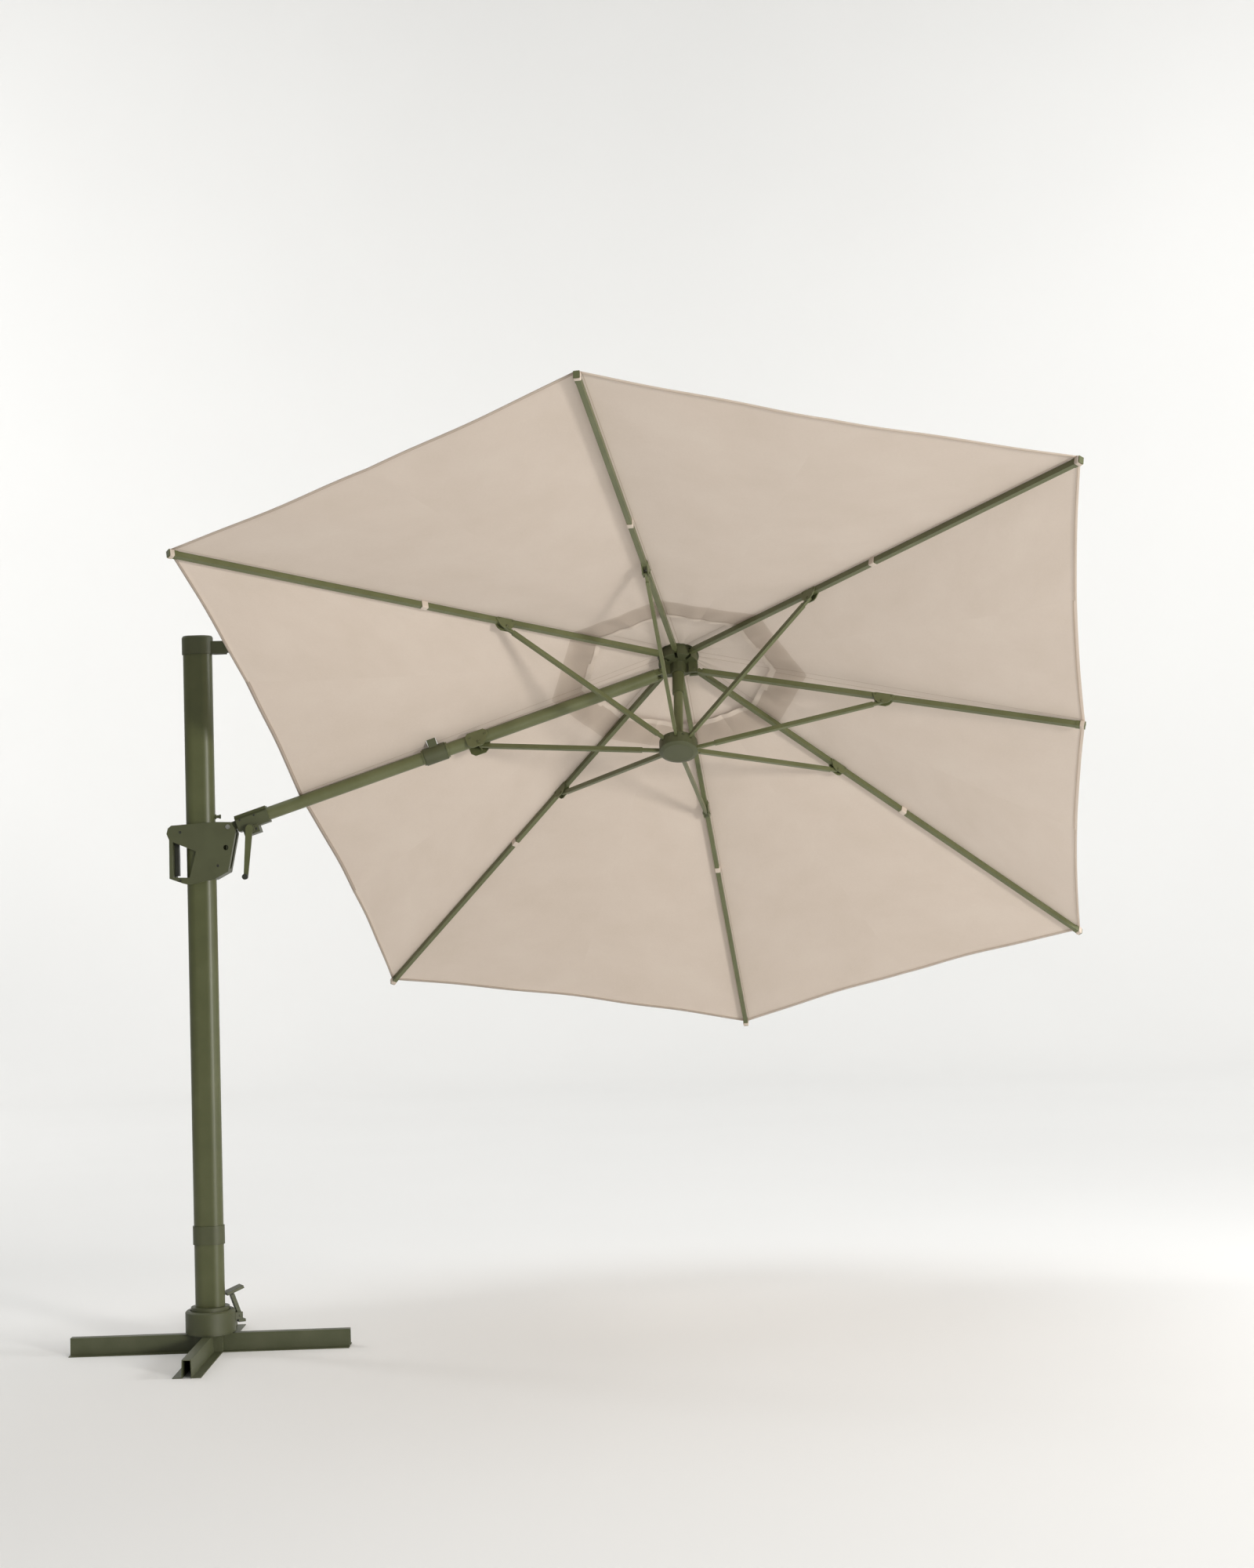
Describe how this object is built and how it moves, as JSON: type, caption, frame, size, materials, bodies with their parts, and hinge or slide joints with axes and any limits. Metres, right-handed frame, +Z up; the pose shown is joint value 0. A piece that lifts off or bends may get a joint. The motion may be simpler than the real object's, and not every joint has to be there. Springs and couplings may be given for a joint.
{
  "type": "cantilever patio umbrella",
  "caption": "Cantilever patio umbrella on a cross base: sliding carriage with grip, boom with tilt crank, folding ribs and stays, beige fabric canopy.",
  "frame": {"origin": "on the floor at the mast axis, the centre of the cross base", "axes": "+Z up along the mast, +X from the mast towards the canopy along the boom, +Y to the side the canopy leans down to"},
  "size_m": [3.8717, 3.4059, 3.0628],
  "materials": {
    "frame_paint": "matte powder coat",
    "base_steel": "matte powder coat",
    "moulded_plastic": "matte moulded",
    "dark_plastic": "matte",
    "bare_steel": "brushed",
    "canopy_cloth": "woven"
  },
  "bodies": {
    "base": {"leg_left": "base_steel", "leg_right": "base_steel", "leg_front": "base_steel", "leg_back": "base_steel", "hub_block": "base_steel", "swivel_pin": "base_steel", "base_collar": "moulded_plastic", "base_bolts": "base_steel"},
    "pedal": {"foot_pedal": "moulded_plastic"},
    "mast": {"mast_foot_ring": "moulded_plastic", "lower_mast": "frame_paint", "joint_sleeve": "moulded_plastic", "upper_mast": "frame_paint", "top_cap": "moulded_plastic", "stop_peg": "frame_paint", "mast_screws": "dark_plastic"},
    "link": {"link_arm": "frame_paint"},
    "carrier": {"boom_socket": "moulded_plastic", "tilt_collar": "moulded_plastic"},
    "boom": {"boom_tube": "frame_paint", "boom_fork": "frame_paint", "boom_bracket": "frame_paint", "worm_wheel": "bare_steel", "petal_h": "canopy_cloth"},
    "crank": {"crank_arm": "frame_paint"},
    "knob": {"crank_knob": "dark_plastic"},
    "carriage": {"carriage_front": "moulded_plastic", "carriage_rear": "moulded_plastic", "carriage_screws": "dark_plastic", "carriage_pin": "bare_steel"},
    "trigger": {"grip_trigger": "dark_plastic"},
    "crown": {"crown_hub": "moulded_plastic", "crown_cap": "moulded_plastic", "crown_sleeve": "frame_paint"},
    "hub": {"lower_hub": "moulded_plastic", "hub_tube": "frame_paint"},
    "rib_a": {"rib_a": "frame_paint", "petal_a": "canopy_cloth"},
    "rib_b": {"rib_b": "frame_paint", "petal_b": "canopy_cloth"},
    "rib_c": {"rib_c": "frame_paint", "petal_c": "canopy_cloth"},
    "rib_d": {"rib_d": "frame_paint", "petal_d": "canopy_cloth"},
    "rib_e": {"rib_e": "frame_paint", "petal_e": "canopy_cloth"},
    "rib_f": {"rib_f": "frame_paint", "petal_f": "canopy_cloth"},
    "rib_g": {"rib_g": "frame_paint", "petal_g": "canopy_cloth"},
    "stay_a": {"stay_a": "frame_paint"},
    "stay_b": {"stay_b": "frame_paint"},
    "stay_c": {"stay_c": "frame_paint"},
    "stay_d": {"stay_d": "frame_paint"},
    "stay_e": {"stay_e": "frame_paint"},
    "stay_f": {"stay_f": "frame_paint"},
    "stay_g": {"stay_g": "frame_paint"},
    "stay_h": {"stay_h": "frame_paint"}
  },
  "joints": [
    {"name": "mast_swivel", "type": "hinge", "parent": "base", "child": "mast", "pos_m": [0, 0, 0], "axis": [0, 0, 1], "continuous": true},
    {"name": "pedal_press", "type": "hinge", "parent": "base", "child": "pedal", "pos_m": [0.09266, 0.04722, 0.115], "axis": [-0.454, 0.891, 0], "range_deg": [0, 6], "stiffness_Nm_per_rad": 20, "springref_deg": -2.86},
    {"name": "link_swing", "type": "hinge", "parent": "mast", "child": "link", "pos_m": [0.105, 0, 2.536], "axis": [0, -1, 0], "range_deg": [-57.5, 0]},
    {"name": "boom_fold", "type": "hinge", "parent": "link", "child": "carrier", "pos_m": [0.83406, 0, 2.20715], "axis": [0, -1, 0], "range_deg": [0, 115]},
    {"name": "carriage_pivot", "type": "hinge", "parent": "carrier", "child": "carriage", "pos_m": [0.105, 0, 1.8783], "axis": [0, -1, 0], "range_deg": [-57.5, 0]},
    {"name": "grip_squeeze", "type": "hinge", "parent": "carriage", "child": "trigger", "pos_m": [-0.0875, 0, 1.8363], "axis": [0, 1, 0], "range_deg": [0, 3.6], "stiffness_Nm_per_rad": 6, "springref_deg": -5.73},
    {"name": "canopy_roll", "type": "hinge", "parent": "carrier", "child": "boom", "pos_m": [0.105, 0, 1.8783], "axis": [0.9511, 0, 0.309], "range_deg": [0, 64]},
    {"name": "crank_turn", "type": "hinge", "parent": "carrier", "child": "crank", "pos_m": [0.18336, 0, 1.87012], "axis": [0, 1, 0], "range_deg": [0, 768]},
    {"name": "knob_spin", "type": "hinge", "parent": "crank", "child": "knob", "pos_m": [0.16803, -0.073, 1.69479], "axis": [0, 1, 0], "continuous": true},
    {"name": "crown_hinge", "type": "hinge", "parent": "boom", "child": "crown", "pos_m": [1.69793, 0, 2.39588], "axis": [0.1638, 0.848, -0.504], "range_deg": [0, 64], "deforming": ["petal_h"]},
    {"name": "rib_a_hinge", "type": "hinge", "parent": "crown", "child": "rib_a", "pos_m": [1.71062, -0.0127, 2.46281], "axis": [0.5811, -0.7155, 0.3879], "range_deg": [0, 68.99], "deforming": ["petal_a"]},
    {"name": "stay_a_hinge", "type": "hinge", "parent": "rib_a", "child": "stay_a", "pos_m": [1.14317, -0.44023, 2.52427], "axis": [0.5811, -0.7155, 0.3879], "range_deg": [-137.97, 0]},
    {"name": "rib_b_hinge", "type": "hinge", "parent": "crown", "child": "rib_b", "pos_m": [1.74956, -0.03455, 2.47356], "axis": [0.9855, -0.1638, 0.0447], "range_deg": [0, 68.99], "deforming": ["petal_b"]},
    {"name": "stay_b_hinge", "type": "hinge", "parent": "rib_b", "child": "stay_b", "pos_m": [1.62851, -0.71263, 2.6583], "axis": [0.9855, -0.1638, 0.0447], "range_deg": [-137.97, 0]},
    {"name": "rib_c_hinge", "type": "hinge", "parent": "crown", "child": "rib_c", "pos_m": [1.79425, -0.0266, 2.4666], "axis": [0.8126, 0.4839, -0.3248], "range_deg": [0, 68.99], "deforming": ["petal_c"]},
    {"name": "stay_c_hinge", "type": "hinge", "parent": "rib_c", "child": "stay_c", "pos_m": [2.18561, -0.61345, 2.57151], "axis": [0.8126, 0.4839, -0.3248], "range_deg": [-137.97, 0]},
    {"name": "rib_d_hinge", "type": "hinge", "parent": "crown", "child": "rib_d", "pos_m": [1.81619, -0.01965, 2.40123], "axis": [0.1638, 0.848, -0.504], "range_deg": [0, 66.72], "deforming": ["petal_d"]},
    {"name": "stay_d_hinge", "type": "hinge", "parent": "rib_d", "child": "stay_d", "pos_m": [2.47079, -0.23897, 2.24488], "axis": [0.1638, 0.848, -0.504], "range_deg": [-140.34, 0]},
    {"name": "rib_e_hinge", "type": "hinge", "parent": "crown", "child": "rib_e", "pos_m": [1.80814, 0.04536, 2.42383], "axis": [-0.5811, 0.7155, -0.3879], "range_deg": [0, 68.99], "deforming": ["petal_e"]},
    {"name": "stay_e_hinge", "type": "hinge", "parent": "rib_e", "child": "stay_e", "pos_m": [2.35883, 0.2836, 2.0384], "axis": [-0.5811, 0.7155, -0.3879], "range_deg": [-137.97, 0]},
    {"name": "rib_f_hinge", "type": "hinge", "parent": "crown", "child": "rib_f", "pos_m": [1.76921, 0.06721, 2.41308], "axis": [-0.9855, 0.1638, -0.0447], "range_deg": [0, 68.99], "deforming": ["petal_f"]},
    {"name": "stay_f_hinge", "type": "hinge", "parent": "rib_f", "child": "stay_f", "pos_m": [1.87348, 0.556, 1.90437], "axis": [-0.9855, 0.1638, -0.0447], "range_deg": [-137.97, 0]},
    {"name": "rib_g_hinge", "type": "hinge", "parent": "crown", "child": "rib_g", "pos_m": [1.72452, 0.05926, 2.42004], "axis": [-0.8126, -0.4839, 0.3248], "range_deg": [0, 68.99], "deforming": ["petal_g"]},
    {"name": "stay_g_hinge", "type": "hinge", "parent": "rib_g", "child": "stay_g", "pos_m": [1.31639, 0.45682, 1.99116], "axis": [-0.8126, -0.4839, 0.3248], "range_deg": [-137.97, 0]},
    {"name": "stay_h_hinge", "type": "hinge", "parent": "boom", "child": "stay_h", "pos_m": [1.02563, -0.01749, 2.148], "axis": [-0.1638, -0.848, 0.504], "range_deg": [-140.59, 0]},
    {"name": "hub_hinge", "type": "hinge", "parent": "stay_b", "child": "hub", "pos_m": [1.73279, -0.22384, 2.14959], "axis": [0.9855, -0.1638, 0.0447], "range_deg": [0, 68.99]}
  ],
  "couplings": [
    {"joint": "link_swing", "follows": "boom_fold", "ratio": -0.5},
    {"joint": "carriage_pivot", "follows": "boom_fold", "ratio": -0.5},
    {"joint": "crank_turn", "follows": "canopy_roll", "ratio": 12},
    {"joint": "crown_hinge", "follows": "boom_fold", "ratio": 0.55652},
    {"joint": "rib_a_hinge", "follows": "boom_fold", "ratio": 0.59988},
    {"joint": "stay_a_hinge", "follows": "boom_fold", "ratio": -1.1998},
    {"joint": "rib_b_hinge", "follows": "boom_fold", "ratio": 0.59988},
    {"joint": "stay_b_hinge", "follows": "boom_fold", "ratio": -1.1998},
    {"joint": "rib_c_hinge", "follows": "boom_fold", "ratio": 0.59988},
    {"joint": "stay_c_hinge", "follows": "boom_fold", "ratio": -1.1998},
    {"joint": "rib_d_hinge", "follows": "boom_fold", "ratio": 0.58019},
    {"joint": "stay_d_hinge", "follows": "boom_fold", "ratio": -1.2203},
    {"joint": "rib_e_hinge", "follows": "boom_fold", "ratio": 0.59988},
    {"joint": "stay_e_hinge", "follows": "boom_fold", "ratio": -1.1998},
    {"joint": "rib_f_hinge", "follows": "boom_fold", "ratio": 0.59988},
    {"joint": "stay_f_hinge", "follows": "boom_fold", "ratio": -1.1998},
    {"joint": "rib_g_hinge", "follows": "boom_fold", "ratio": 0.59988},
    {"joint": "stay_g_hinge", "follows": "boom_fold", "ratio": -1.1998},
    {"joint": "stay_h_hinge", "follows": "boom_fold", "ratio": -1.2225},
    {"joint": "hub_hinge", "follows": "boom_fold", "ratio": 0.59988}
  ]
}
